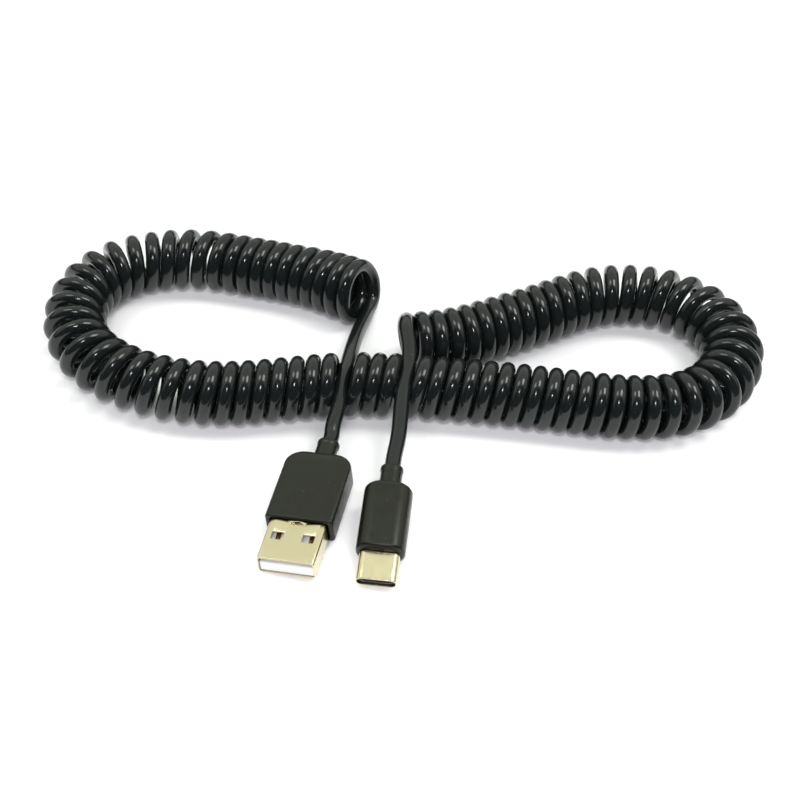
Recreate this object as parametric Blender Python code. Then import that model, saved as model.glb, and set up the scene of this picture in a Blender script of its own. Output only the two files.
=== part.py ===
# Coiled USB-C cable: a curly cord that lies in two loops on a level floor,
# with a straight tail to a USB-A plug and another to a USB-C plug.
# The origin is on the floor, under the middle of the cable's box.
# Sizes are in millimetres. MM turns them into Blender's metres.

import math

import bmesh
import bpy
import numpy as np
from mathutils import Vector

MM = 0.001

# Clearances
FACE_GAP = 0.3          # between two pieces that meet
CORNER_STEPS = 5        # straight steps in each rounded corner of a section
SHARP_CORNER = 0.02     # the least rounding of a section, which looks square

# Cord
CORD_DIAMETER = 3.4
COIL_DIAMETER = 14.4
COIL_POINTS = 60        # points along the fat tube that stands for the coil
COIL_END_STEP = 1.0     # first and last step of that tube, short so that its ends are square
COIL_END_GAP = 0.6      # between its ends and the end turns, which lean a little
ROUTE_STEPS = 2400      # even steps in which the coil's middle line is worked out
TAIL_SPACING = 5.0      # distance between a tail's points
LEAD_LENGTH = 2.0       # straight bit of a tail behind its strain relief

# The coil's middle line on the floor, from the USB-A end to the USB-C end
COIL_ROUTE = [
    (-10.1, 33.7), (-14.1, 35.8), (-18.6, 38.0), (-24.0, 39.8), (-36.5, 42.6),
    (-52.0, 44.5), (-60.0, 43.0), (-68.0, 39.0), (-73.5, 31.5), (-75.0, 21.5),
    (-72.0, 11.5), (-65.0, 4.0), (-53.0, -1.5), (-41.0, -3.0), (-26.5, -1.0),
    (-13.0, 1.5), (-2.0, 2.0), (9.0, 1.5), (23.0, 0.5), (37.0, -1.0),
    (48.0, -2.0), (59.0, -1.0), (66.5, 2.5), (72.5, 9.5), (75.0, 19.0),
    (72.0, 28.5), (65.0, 35.0), (57.0, 37.5), (44.0, 36.0), (33.5, 30.5),
    (21.0, 24.0), (11.5, 19.7), (1.5, 17.3),
]
USB_A_LEAVE_ANGLE = 0.0     # where the tail leaves the end turn: 0 is its far side,
USB_C_LEAVE_ANGLE = 60.0    # 90 its top, both in degrees
END_ARC = 120.0             # part of the end turn that belongs to a tail's solid
END_ARC_STEPS = 4

# The tails, from the coil over its front run towards the plugs
USB_A_TAIL_ROUTE = [
    (-7.2, 37.3, 3.6), (-7.8, 34.1, 2.6), (-8.5, 30.2, 2.9), (-9.4, 24.5, 5.0),
    (-10.2, 17.2, 8.8), (-10.8, 9.8, 13.4), (-11.3, 4.8, 16.2), (-11.7, 0.6, 16.9),
    (-12.1, -3.4, 16.1), (-12.7, -6.8, 13.3), (-13.3, -9.8, 10.7), (-13.9, -12.8, 8.4),
]
USB_C_TAIL_ROUTE = [
    (0.4, 15.8, 13.9), (0.6, 9.6, 15.5), (0.7, 2.4, 16.6), (0.6, -3.0, 16.1),
    (0.4, -7.6, 13.8), (0.3, -11.6, 11.4), (-0.1, -16.2, 9.3),
]

# USB-A plug: the middle of the shell's tip, and how the plug lies
USB_A_TIP = (-21.4, -49.4, 2.85)
USB_A_TURN = -11.3          # about the vertical, in degrees
USB_A_RISE = 5.0            # its back end is raised
USB_A_ROLL = -5.6           # its right side is raised
USB_A_SHELL_WIDTH = 12.0
USB_A_SHELL_HEIGHT = 4.5
USB_A_SHELL_SHOWN = 10.4    # length in front of the housing
USB_A_SHELL_SEATED = 4.0    # length inside the housing
USB_A_SHELL_WALL = 0.3
USB_A_SHELL_CORNER = 0.6
USB_A_WINDOW_WIDTH = 2.5
USB_A_WINDOW_LENGTH = 2.0
USB_A_WINDOW_BACK = 5.16    # from the tip to the window
USB_A_WINDOW_APART = 4.0    # between the two windows
USB_A_NOTCH_WIDTH = 3.0
USB_A_NOTCH_LENGTH = 1.4
USB_A_TONGUE_HEIGHT = 1.7
USB_A_TONGUE_BACK = 0.6     # from the tip to the tongue
USB_A_CONTACT_WIDTH = 1.0
USB_A_CONTACT_THICK = 0.2
USB_A_CONTACT_LENGTH = 7.0
USB_A_CONTACT_BACK = 1.2    # from the tongue's front to the contact
USB_A_CONTACT_PLACES = (-3.5, -1.0, 1.0, 3.5)
USB_A_HOUSING_WIDTH = 14.4
USB_A_HOUSING_HEIGHT = 6.1
USB_A_HOUSING_LENGTH = 18.7
USB_A_HOUSING_EDGE = 0.9    # rounding along the housing
USB_A_HOUSING_BACK_CORNER = 3.6
USB_A_HOUSING_BACK_EDGE = 0.6
USB_A_HOUSING_FRONT_EDGE = 0.4

# USB-C plug, laid out as the other one
USB_C_TIP = (-3.3, -51.6, 2.0)
USB_C_TURN = -4.7
USB_C_RISE = 10.0
USB_C_ROLL = 0.0
USB_C_SHELL_WIDTH = 8.34
USB_C_SHELL_HEIGHT = 2.56
USB_C_SHELL_SHOWN = 6.65
USB_C_SHELL_SEATED = 3.0
USB_C_SHELL_WALL = 0.25
USB_C_SLOT_WIDTH = 5.8
USB_C_SLOT_HEIGHT = 0.7
USB_C_SLOT_DEPTH = 5.0
USB_C_INSULATOR_BACK = 0.4
USB_C_HOUSING_WIDTH = 10.1
USB_C_HOUSING_HEIGHT = 6.6
USB_C_HOUSING_LENGTH = 16.5
USB_C_HOUSING_EDGE = 2.9
USB_C_HOUSING_BACK_CORNER = 1.6
USB_C_HOUSING_BACK_EDGE = 0.7
USB_C_HOUSING_FRONT_EDGE = 0.9

# Strain reliefs: an oval neck with a rim at the cord's end
RELIEF_WIDTH = 4.6
RELIEF_HEIGHT = 4.0
RELIEF_RIM_MORE = 0.4       # width and height that the rim adds
RELIEF_RIM_LENGTH = 1.0
RELIEF_LENGTH = 5.0
RELIEF_SEATED = 2.5

COLOURS = {
    "black_cord": ((0.018, 0.018, 0.02), 0.25, 0.0),
    "black_housing": ((0.02, 0.02, 0.02), 0.35, 0.0),
    "nickel": ((0.75, 0.68, 0.5), 0.25, 1.0),
    "white_plastic": ((0.85, 0.85, 0.83), 0.4, 0.0),
    "black_plastic": ((0.03, 0.03, 0.03), 0.45, 0.0),
    "gold": ((0.85, 0.62, 0.25), 0.25, 1.0),
}


def clear_scene():
    for thing in list(bpy.data.objects):
        bpy.data.objects.remove(thing, do_unlink=True)


def material(name):
    found = bpy.data.materials.get(name)
    if found:
        return found
    colour, roughness, metallic = COLOURS[name]
    made = bpy.data.materials.new(name)
    made.use_nodes = True
    shader = made.node_tree.nodes["Principled BSDF"]
    shader.inputs["Base Color"].default_value = (*colour, 1.0)
    shader.inputs["Roughness"].default_value = roughness
    shader.inputs["Metallic"].default_value = metallic
    made.diffuse_color = (*colour, 1.0)
    return made


def smooth_curve(points, count):
    """Even points on the natural cubic spline through the given points."""
    points = np.array(points, dtype=float)
    steps = np.linalg.norm(np.diff(points, axis=0), axis=1)
    along = np.concatenate([[0.0], np.cumsum(steps)])
    size = len(points)
    matrix = np.eye(size)
    right = np.zeros_like(points)
    for i in range(1, size - 1):
        matrix[i, i - 1] = steps[i - 1]
        matrix[i, i] = 2.0 * (steps[i - 1] + steps[i])
        matrix[i, i + 1] = steps[i]
        slope_after = (points[i + 1] - points[i]) / steps[i]
        slope_before = (points[i] - points[i - 1]) / steps[i - 1]
        right[i] = 6.0 * (slope_after - slope_before)
    bend = np.linalg.solve(matrix, right)
    places = np.linspace(0.0, along[-1], count)
    spans = np.clip(np.searchsorted(along, places, side="right") - 1, 0, size - 2)
    width = steps[spans][:, None]
    late = (places - along[spans])[:, None] / width
    early = 1.0 - late
    line = early * points[spans] + late * points[spans + 1]
    curve = (early**3 - early) * bend[spans] + (late**3 - late) * bend[spans + 1]
    return line + curve * width**2 / 6.0


def tube(name, points, diameter, resolution, look):
    """A round tube through the points, with filled ends."""
    curve = bpy.data.curves.new(name, "CURVE")
    curve.dimensions = "3D"
    curve.twist_mode = "Z_UP"
    curve.bevel_depth = diameter / 2.0 * MM
    curve.bevel_resolution = resolution
    curve.use_fill_caps = True
    spline = curve.splines.new("POLY")
    spline.points.add(len(points) - 1)
    for slot, point in zip(spline.points, points):
        slot.co = (*(Vector(point) * MM), 1.0)
    spline.use_smooth = True
    made = bpy.data.objects.new(name, curve)
    bpy.context.collection.objects.link(made)
    curve.materials.append(material(look))
    return made


def rounded_section(width, height, corner):
    """Points round a rectangle with rounded corners, in X and Z."""
    corner = min(corner, width / 2.0, height / 2.0)
    points = []
    for quarter in range(4):
        side_x = 1.0 if quarter in (0, 3) else -1.0
        side_z = 1.0 if quarter in (0, 1) else -1.0
        middle_x = side_x * (width / 2.0 - corner)
        middle_z = side_z * (height / 2.0 - corner)
        for step in range(CORNER_STEPS + 1):
            angle = math.radians(90.0 * (quarter + step / CORNER_STEPS))
            points.append((middle_x + corner * math.cos(angle), middle_z + corner * math.sin(angle)))
    return points


def loft(name, sections, look, holder, place=(0.0, 0.0, 0.0), ring=False):
    """A solid through sections (y, width, height, corner), capped or closed in a ring."""
    mesh = bpy.data.meshes.new(name)
    work = bmesh.new()
    loops = []
    for y, width, height, corner in sections:
        outline = rounded_section(width, height, max(corner, SHARP_CORNER))
        loops.append([work.verts.new((x * MM, y * MM, z * MM)) for x, z in outline])
    pairs = list(zip(loops, loops[1:]))
    if ring:
        pairs.append((loops[-1], loops[0]))
    else:
        work.faces.new(loops[0])
        work.faces.new(loops[-1])
    for first, second in pairs:
        for i in range(len(first)):
            j = (i + 1) % len(first)
            work.faces.new((first[i], first[j], second[j], second[i]))
    bmesh.ops.recalc_face_normals(work, faces=work.faces)
    work.to_mesh(mesh)
    work.free()
    mesh.shade_smooth()
    mesh.set_sharp_from_angle(angle=math.radians(35.0))
    mesh.materials.append(material(look))
    made = bpy.data.objects.new(name, mesh)
    bpy.context.collection.objects.link(made)
    made.parent = holder
    made.location = Vector(place) * MM
    return made


def cut(target, name, sections, holder, place):
    """Cuts a lofted shape out of the target."""
    cutter = loft(name, sections, "black_plastic", holder, place)
    cutter.hide_render = True
    cutter.display_type = "WIRE"
    boolean = target.modifiers.new(name, "BOOLEAN")
    boolean.operation = "DIFFERENCE"
    boolean.solver = "EXACT"
    boolean.object = cutter


def plug_place(name, tip, turn, rise, roll):
    """An empty at the plug's tip; its +Y runs along the plug to the cord."""
    empty = bpy.data.objects.new(name, None)
    bpy.context.collection.objects.link(empty)
    empty.rotation_mode = "YXZ"
    empty.rotation_euler = (math.radians(rise), math.radians(roll), math.radians(turn))
    empty.location = Vector(tip) * MM
    return empty


def rounded_end(end, outward, width, height, corner, plan_round, edge_round):
    """Sections from a solid's full size to its end face, which is smaller all round."""
    sections = []
    for step in range(CORNER_STEPS + 1):
        angle = math.radians(90.0 * step / CORNER_STEPS)
        y = end - outward * plan_round * (1.0 - math.sin(angle))
        less = 1.0 - math.cos(angle)
        sections.append((y, width - 2.0 * plan_round * less, height - 2.0 * edge_round * less, corner))
    return sections


def housing(name, front, length, width, height, edge, back_round, front_round, pocket, holder):
    """A moulded grip with a pocket for the shell and a socket for the strain relief."""
    pocket_width, pocket_height, pocket_corner, pocket_depth = pocket
    back = front + length
    socket_width = RELIEF_WIDTH + 2.0 * FACE_GAP
    socket_height = RELIEF_HEIGHT + 2.0 * FACE_GAP
    sections = [
        (back - RELIEF_SEATED - FACE_GAP, socket_width, socket_height, socket_height / 2.0),
        (back, socket_width, socket_height, socket_height / 2.0),
    ]
    sections += reversed(rounded_end(back, 1.0, width, height, edge, *back_round))
    sections += rounded_end(front, -1.0, width, height, edge, front_round, front_round)
    sections += [
        (front, pocket_width, pocket_height, pocket_corner),
        (front + pocket_depth, pocket_width, pocket_height, pocket_corner),
    ]
    return loft(name, sections, "black_housing", holder)


def strain_relief(name, back, holder):
    """A moulded neck, seated in the housing's back."""
    rim = back + RELIEF_LENGTH - RELIEF_RIM_LENGTH
    profile = [
        (back - RELIEF_SEATED, 0.0),
        (rim, 0.0),
        (rim + 0.25 * RELIEF_RIM_LENGTH, RELIEF_RIM_MORE),
        (rim + 0.75 * RELIEF_RIM_LENGTH, RELIEF_RIM_MORE),
        (rim + RELIEF_RIM_LENGTH, 0.0),
    ]
    sections = []
    for y, more in profile:
        height = RELIEF_HEIGHT + more
        sections.append((y, RELIEF_WIDTH + more, height, height / 2.0))
    return loft(name, sections, "black_housing", holder)


def shell(name, width, height, corner, wall, length, holder):
    """A thin metal tube, open at both ends."""
    inner_width = width - 2.0 * wall
    inner_height = height - 2.0 * wall
    inner_corner = corner - wall
    sections = [
        (0.0, width, height, corner),
        (length, width, height, corner),
        (length, inner_width, inner_height, inner_corner),
        (0.0, inner_width, inner_height, inner_corner),
    ]
    return loft(name, sections, "nickel", holder, ring=True)


def usb_a_plug():
    holder = plug_place("usb_a_place", USB_A_TIP, USB_A_TURN, USB_A_RISE, USB_A_ROLL)
    length = USB_A_SHELL_SHOWN + USB_A_SHELL_SEATED
    metal = shell("usb_a_shell", USB_A_SHELL_WIDTH, USB_A_SHELL_HEIGHT, USB_A_SHELL_CORNER,
                  USB_A_SHELL_WALL, length, holder)
    top = USB_A_SHELL_HEIGHT / 2.0 - USB_A_SHELL_WALL / 2.0
    through = 3.0 * USB_A_SHELL_WALL
    window_x = (USB_A_WINDOW_APART + USB_A_WINDOW_WIDTH) / 2.0
    window_end = USB_A_WINDOW_BACK + USB_A_WINDOW_LENGTH
    for side, x in (("left", -window_x), ("right", window_x)):
        window = [(USB_A_WINDOW_BACK, USB_A_WINDOW_WIDTH, through, 0.0),
                  (window_end, USB_A_WINDOW_WIDTH, through, 0.0)]
        cut(metal, "window_" + side, window, holder, (x, 0.0, top))
    notch = []
    for step in range(1, CORNER_STEPS + 1):
        angle = math.radians(90.0 * step / CORNER_STEPS)
        y = USB_A_SHELL_SHOWN - USB_A_NOTCH_LENGTH * math.cos(angle)
        notch.append((y, USB_A_NOTCH_WIDTH * math.sin(angle), through, 0.0))
    cut(metal, "notch", notch, holder, (0.0, 0.0, top))

    inner_width = USB_A_SHELL_WIDTH - 2.0 * USB_A_SHELL_WALL
    inner_height = USB_A_SHELL_HEIGHT - 2.0 * USB_A_SHELL_WALL
    tongue_width = inner_width - 2.0 * FACE_GAP
    tongue_low = -inner_height / 2.0 + FACE_GAP
    tongue_top = tongue_low + USB_A_TONGUE_HEIGHT
    tongue_place = (0.0, 0.0, (tongue_low + tongue_top) / 2.0)
    loft("usb_a_insulator", [
        (USB_A_TONGUE_BACK, tongue_width, USB_A_TONGUE_HEIGHT, 0.3),
        (length, tongue_width, USB_A_TONGUE_HEIGHT, 0.3),
    ], "white_plastic", holder, tongue_place)
    contact_front = USB_A_TONGUE_BACK + USB_A_CONTACT_BACK
    contact_height = tongue_top + FACE_GAP + USB_A_CONTACT_THICK / 2.0
    for number, x in enumerate(USB_A_CONTACT_PLACES, start=1):
        loft("usb_a_contact_%d" % number, [
            (contact_front, USB_A_CONTACT_WIDTH, USB_A_CONTACT_THICK, 0.0),
            (contact_front + USB_A_CONTACT_LENGTH, USB_A_CONTACT_WIDTH, USB_A_CONTACT_THICK, 0.0),
        ], "gold", holder, (x, 0.0, contact_height))

    pocket = (USB_A_SHELL_WIDTH + 2.0 * FACE_GAP, USB_A_SHELL_HEIGHT + 2.0 * FACE_GAP,
              USB_A_SHELL_CORNER + FACE_GAP, USB_A_SHELL_SEATED + FACE_GAP)
    housing("usb_a_housing", USB_A_SHELL_SHOWN, USB_A_HOUSING_LENGTH, USB_A_HOUSING_WIDTH,
            USB_A_HOUSING_HEIGHT, USB_A_HOUSING_EDGE,
            (USB_A_HOUSING_BACK_CORNER, USB_A_HOUSING_BACK_EDGE),
            USB_A_HOUSING_FRONT_EDGE, pocket, holder)
    back = USB_A_SHELL_SHOWN + USB_A_HOUSING_LENGTH
    strain_relief("usb_a_strain_relief", back, holder)
    return holder, back + RELIEF_LENGTH


def usb_c_plug():
    holder = plug_place("usb_c_place", USB_C_TIP, USB_C_TURN, USB_C_RISE, USB_C_ROLL)
    length = USB_C_SHELL_SHOWN + USB_C_SHELL_SEATED
    corner = USB_C_SHELL_HEIGHT / 2.0
    shell("usb_c_shell", USB_C_SHELL_WIDTH, USB_C_SHELL_HEIGHT, corner, USB_C_SHELL_WALL, length, holder)
    inset = 2.0 * (USB_C_SHELL_WALL + FACE_GAP)
    core_width = USB_C_SHELL_WIDTH - inset
    core_height = USB_C_SHELL_HEIGHT - inset
    slot_corner = USB_C_SLOT_HEIGHT / 4.0
    loft("usb_c_insulator", [
        (length, core_width, core_height, core_height / 2.0),
        (USB_C_INSULATOR_BACK, core_width, core_height, core_height / 2.0),
        (USB_C_INSULATOR_BACK, USB_C_SLOT_WIDTH, USB_C_SLOT_HEIGHT, slot_corner),
        (USB_C_INSULATOR_BACK + USB_C_SLOT_DEPTH, USB_C_SLOT_WIDTH, USB_C_SLOT_HEIGHT, slot_corner),
    ], "black_plastic", holder)

    pocket = (USB_C_SHELL_WIDTH + 2.0 * FACE_GAP, USB_C_SHELL_HEIGHT + 2.0 * FACE_GAP,
              corner + FACE_GAP, USB_C_SHELL_SEATED + FACE_GAP)
    housing("usb_c_housing", USB_C_SHELL_SHOWN, USB_C_HOUSING_LENGTH, USB_C_HOUSING_WIDTH,
            USB_C_HOUSING_HEIGHT, USB_C_HOUSING_EDGE,
            (USB_C_HOUSING_BACK_CORNER, USB_C_HOUSING_BACK_EDGE),
            USB_C_HOUSING_FRONT_EDGE, pocket, holder)
    back = USB_C_SHELL_SHOWN + USB_C_HOUSING_LENGTH
    strain_relief("usb_c_strain_relief", back, holder)
    return holder, back + RELIEF_LENGTH


def coil_middle():
    """The coil's middle line, as many points, at the height of its radius."""
    route = [(x, y, COIL_DIAMETER / 2.0) for x, y in COIL_ROUTE]
    return smooth_curve(route, ROUTE_STEPS)


def turn_point(middle, forward, angle):
    """A place on the cord's own middle line, round one turn of the coil."""
    forward = np.array([forward[0], forward[1], 0.0]) / math.hypot(forward[0], forward[1])
    side = np.array([forward[1], -forward[0], 0.0])
    radius = (COIL_DIAMETER - CORD_DIAMETER) / 2.0
    angle = math.radians(angle)
    return middle + radius * (math.cos(angle) * side + math.sin(angle) * np.array([0.0, 0.0, 1.0]))


def coiled_cord(line):
    """One fat tube for the curly stretch, clear of the tails at both ends."""
    steps = np.linalg.norm(np.diff(line, axis=0), axis=1)
    along = np.concatenate([[0.0], np.cumsum(steps)])
    first = CORD_DIAMETER / 2.0 + COIL_END_GAP
    last = along[-1] - first
    inner = np.linspace(first + COIL_END_STEP, last - COIL_END_STEP, COIL_POINTS - 2)
    places = [first, *inner, last]
    points = np.stack([np.interp(places, along, line[:, axis]) for axis in range(3)], axis=1)
    tube("coiled_cord", points, COIL_DIAMETER, 4, "black_cord")


def end_arc(middle, forward, leave_angle, sweep):
    """Points along the end turn, ending where the tail leaves it."""
    points = []
    for step in range(END_ARC_STEPS, -1, -1):
        points.append(turn_point(middle, forward, leave_angle + sweep * step / END_ARC_STEPS))
    return points


def tail(name, arc, route, holder, end):
    """A plain tube from the coil's end turn to the strain relief."""
    bpy.context.view_layer.update()
    leads = []
    for distance in (end + FACE_GAP + LEAD_LENGTH, end + FACE_GAP):
        leads.append(np.array(holder.matrix_world @ (Vector((0.0, distance, 0.0)) * MM)) / MM)
    chosen = arc + [np.array(point) for point in route] + leads[:1]
    length = sum(np.linalg.norm(b - a) for a, b in zip(chosen, chosen[1:]))
    points = [*smooth_curve(chosen, round(length / TAIL_SPACING) + 1), leads[1]]
    tube(name, points, CORD_DIAMETER, 2, "black_cord")


clear_scene()
middle = coil_middle()
coiled_cord(middle)
usb_a, usb_a_end = usb_a_plug()
usb_c, usb_c_end = usb_c_plug()
usb_a_arc = end_arc(middle[0], middle[1] - middle[0], USB_A_LEAVE_ANGLE, END_ARC)
usb_c_arc = end_arc(middle[-1], middle[-1] - middle[-2], USB_C_LEAVE_ANGLE, -END_ARC)
tail("usb_a_tail", usb_a_arc, USB_A_TAIL_ROUTE, usb_a, usb_a_end)
tail("usb_c_tail", usb_c_arc, USB_C_TAIL_ROUTE, usb_c, usb_c_end)
bpy.context.view_layer.update()
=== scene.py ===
# %% [markdown]
# # A coiled USB-C cable
#
# This lesson dresses a charging cable: a curly black cord that lies in two loops, with a USB-A
# plug and a USB-C plug on its straight tails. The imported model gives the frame, and every piece
# here goes where that frame says. The rest is looks: the real helix, the moulded plugs, and the
# glossy PVC and warm nickel that they are made of.

# %% Load the frame
import math

import bmesh
import bpy
import numpy as np
from mathutils import Matrix, Vector


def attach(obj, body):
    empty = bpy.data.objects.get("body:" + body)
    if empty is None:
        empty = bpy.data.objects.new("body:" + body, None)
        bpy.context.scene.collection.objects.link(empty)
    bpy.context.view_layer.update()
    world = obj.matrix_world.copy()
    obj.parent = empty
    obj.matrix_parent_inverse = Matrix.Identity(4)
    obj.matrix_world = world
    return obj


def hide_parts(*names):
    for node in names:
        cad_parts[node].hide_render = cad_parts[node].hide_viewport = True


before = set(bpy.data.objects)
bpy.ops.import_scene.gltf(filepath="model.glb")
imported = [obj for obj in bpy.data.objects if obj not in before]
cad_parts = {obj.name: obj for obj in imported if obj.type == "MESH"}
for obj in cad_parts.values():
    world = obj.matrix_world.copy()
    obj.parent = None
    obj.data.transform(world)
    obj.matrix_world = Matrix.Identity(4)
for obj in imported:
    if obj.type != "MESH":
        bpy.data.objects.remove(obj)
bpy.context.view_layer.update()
print("nodes in the frame:", len(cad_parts))

# %% [markdown]
# ## The camera
#
# The cord spreads over the whole picture, so the camera comes first. A product photographer
# stands in front of the table and looks down on the cable. The camera is placed by where it
# stands, how far it tips down and its lens, because those three are easy to measure against a
# thing that lies on a floor. A small roll levels the picture as it was shot.

# %% Place the camera
MM = 0.001
PICTURE_SIZE = 800.0            # pixels
CAMERA_PLACE = (0.0, -278.5, 255.5)
CAMERA_ELEVATION = 42.0         # degrees above the floor
CAMERA_ROLL = 2.34              # degrees
CAMERA_FOCUS = 1698.7           # focal length in pixels
SENSOR = 36.0                   # mm


def add_camera():
    data = bpy.data.cameras.new("camera")
    data.sensor_width = SENSOR
    data.lens = CAMERA_FOCUS / PICTURE_SIZE * SENSOR
    data.clip_start = 0.01
    camera = bpy.data.objects.new("camera", data)
    bpy.context.collection.objects.link(camera)
    tilt = Matrix.Rotation(math.radians(90.0 - CAMERA_ELEVATION), 4, "X")
    roll = Matrix.Rotation(math.radians(CAMERA_ROLL), 4, "Z")
    camera.matrix_world = Matrix.Translation(Vector(CAMERA_PLACE) * MM) @ tilt @ roll
    bpy.context.scene.camera = camera
    return camera


camera = add_camera()
print("lens in mm:", round(camera.data.lens, 1))

# %% [markdown]
# ## The route of the cord
#
# A curly cord is a straight cable that was wound on a rod and set with heat. To draw it, first
# comes the middle line of the coil: a row of given points, half a coil above the floor.
# A natural cubic spline joins them, because it bends as a spring does, with no corners. The
# same spline serves the two straight tails.

# %% Cord sizes and route points
CORD_DIAMETER = 3.4             # sizes and places are in mm from here on
COIL_DIAMETER = 14.4
COIL_RADIUS = (COIL_DIAMETER - CORD_DIAMETER) / 2.0

COIL_ROUTE = [
    (-10.1, 33.7, 7.7), (-14.1, 35.8, 7.5), (-18.6, 38.0, 7.3), (-24.0, 39.8, 7.2),
    (-36.5, 42.6, 7.2), (-52.0, 44.5, 7.2), (-60.0, 43.0, 7.2), (-68.0, 39.0, 7.2),
    (-73.5, 31.5, 7.2), (-75.0, 21.5, 7.2), (-72.0, 11.5, 7.2), (-65.0, 4.0, 7.2),
    (-53.0, -1.5, 7.2), (-41.0, -3.0, 7.2), (-26.5, -1.0, 7.2), (-13.0, 1.5, 7.2),
    (-2.0, 2.0, 7.2), (9.0, 1.5, 7.2), (23.0, 0.5, 7.2), (37.0, -1.0, 7.2),
    (48.0, -2.0, 7.2), (59.0, -1.0, 7.2), (66.5, 2.5, 7.2), (72.5, 9.5, 7.2),
    (75.0, 19.0, 7.2), (72.0, 28.5, 7.2), (65.0, 35.0, 7.2), (57.0, 37.5, 7.2),
    (44.0, 36.0, 7.2), (33.5, 30.3, 7.2), (21.0, 23.5, 7.2), (11.5, 19.0, 7.2),
    (1.5, 16.6, 7.2),
]
USB_A_TAIL_ROUTE = [
    (-7.5, 37.3, 3.4), (-8.3, 34.1, 2.6), (-9.0, 30.0, 3.2), (-9.9, 24.5, 4.6),
    (-10.9, 17.2, 6.5), (-11.7, 9.8, 8.0), (-12.2, 5.0, 8.6), (-12.8, 0.6, 8.75),
    (-13.4, -6.8, 7.45), (-14.25, -12.8, 6.35),
]
USB_C_TAIL_ROUTE = [
    (0.7, 15.1, 13.7), (1.5, 9.2, 12.8), (1.4, 2.4, 11.4), (0.65, -3.0, 10.5),
    (0.35, -7.6, 9.8), (0.2, -11.6, 9.1), (-0.1, -16.2, 8.3),
]
print("coil radius at the cord's middle:", COIL_RADIUS)


# %% A natural cubic spline
def smooth_curve(points, count):
    """Even points on the natural cubic spline through the given points."""
    points = np.array(points, dtype=float)
    steps = np.linalg.norm(np.diff(points, axis=0), axis=1)
    along = np.concatenate([[0.0], np.cumsum(steps)])
    size = len(points)
    matrix = np.eye(size)
    right = np.zeros_like(points)
    for i in range(1, size - 1):
        matrix[i, i - 1:i + 2] = steps[i - 1], 2.0 * (steps[i - 1] + steps[i]), steps[i]
        slope_after = (points[i + 1] - points[i]) / steps[i]
        slope_before = (points[i] - points[i - 1]) / steps[i - 1]
        right[i] = 6.0 * (slope_after - slope_before)
    bend = np.linalg.solve(matrix, right)
    places = np.linspace(0.0, along[-1], count)
    spans = np.clip(np.searchsorted(along, places, side="right") - 1, 0, size - 2)
    width = steps[spans][:, None]
    late = (places - along[spans])[:, None] / width
    early = 1.0 - late
    line = early * points[spans] + late * points[spans + 1]
    curve = (early**3 - early) * bend[spans] + (late**3 - late) * bend[spans + 1]
    return line + curve * width**2 / 6.0


print("points on a first try:", len(smooth_curve(COIL_ROUTE, 200)))

# %% [markdown]
# ## Where each plug lies
#
# Both plugs are modelled lying along Y with the tip at zero, and then put in place with one
# matrix each. The turn is about the vertical, the rise lifts the end where the cord goes in,
# and the roll tips the plug sideways, as the cord's own twist does.

# %% Plug matrices
USB_A_TIP = (-21.4, -49.4, 2.85)
USB_A_LIE = (-11.3, 5.0, -5.6)      # turn, rise and roll in degrees
USB_C_TIP = (-3.3, -51.6, 2.0)
USB_C_LIE = (-4.7, 10.0, 0.0)


def plug_matrix(tip, lie):
    turn, rise, roll = (math.radians(angle) for angle in lie)
    turned = Matrix.Rotation(turn, 4, "Z") @ Matrix.Rotation(rise, 4, "X")
    return Matrix.Translation(Vector(tip)) @ turned @ Matrix.Rotation(roll, 4, "Y")


usb_a_place = plug_matrix(USB_A_TIP, USB_A_LIE)
usb_c_place = plug_matrix(USB_C_TIP, USB_C_LIE)
print("USB-A tip at", [round(v, 1) for v in usb_a_place.translation])

# %% [markdown]
# ## The helix
#
# The turns lie side by side, a cord's width apart, on the inner side of every bend. On the
# outer side they fan out, which is what makes a curly cord look like one. So the step from
# turn to turn, at the middle line, grows with the bend: it is the cord's width over one minus
# bend times coil radius. The angle round the coil then comes from adding up those steps.
#
# A perfect helix looks like a drawing of a spring. Real turns lag, yaw and lean, and the turns
# at the ends hang open. Four short lists say how much, turn by turn.
#
# Each tail lies pressed in between two turns of the front run. There the coil leaves one turn
# out: the cord runs on along the floor, under the tail, to the next turn's place.

# %% How the real turns differ from a perfect helix
TURNS = 86                      # places for turns, and each slot leaves one empty
STEPS_PER_TURN = 32
ROUTE_STEPS = 12000
FINE_STEPS = 3000
BEND_SMOOTHING = 401            # route steps that a bend is averaged over
CORD_SPACING = 3.43
SPACING_TRIES = 3
TOP_OF_TURN = 0.25              # share of a turn from its start up to its top
TAIL_SLOTS = ((-12.6, 1.2), (1.35, 1.9))    # where each tail passes through the coil's front run
USB_A_LEAVE_ANGLE = 0.0         # round the end turn: 0 is its far side, 90 its top
USB_C_LEAVE_ANGLE = 60.0
SLOT_EASE = 2.0                 # turns over which the one left out is spread
TURN_SHIFT = [                  # turn number, and how far that turn lags, in turns
    (0, 0.0), (4, -0.4), (9, -0.8), (12, -0.5), (18, -0.45), (21, -0.2), (27, 0.4), (30, 0.6),
    (34, 0.5), (37, 0.6), (40, 0.45), (43, 0.25), (48, 0.35), (56, 0.4), (60, 0.15), (70, 0.25),
    (75, 0.1), (80, 0.2), (86, 0.0),
]
TURN_YAW = [                    # turn number, and degrees about the vertical
    (0, 5), (3, -6), (8, -6), (11, -4), (14, 0), (18, -4), (26, 5), (30, 2), (34, -7), (43, -3),
    (48, 0), (58, 7), (63, 6), (67, 1), (71, -2), (75, -9), (79, -6), (82, -3), (85, 7),
]
TURN_LEAN = [                   # turn number, and degrees that its top leans along the coil
    (0, 12), (3, 0), (5, 6), (8, 6), (14, -3), (18, 4), (26, 8), (38, 2), (43, 5), (48, 5),
    (58, 2), (63, 1), (67, -2), (71, -1), (75, 6), (82, 5), (85, -2),
]
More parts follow.
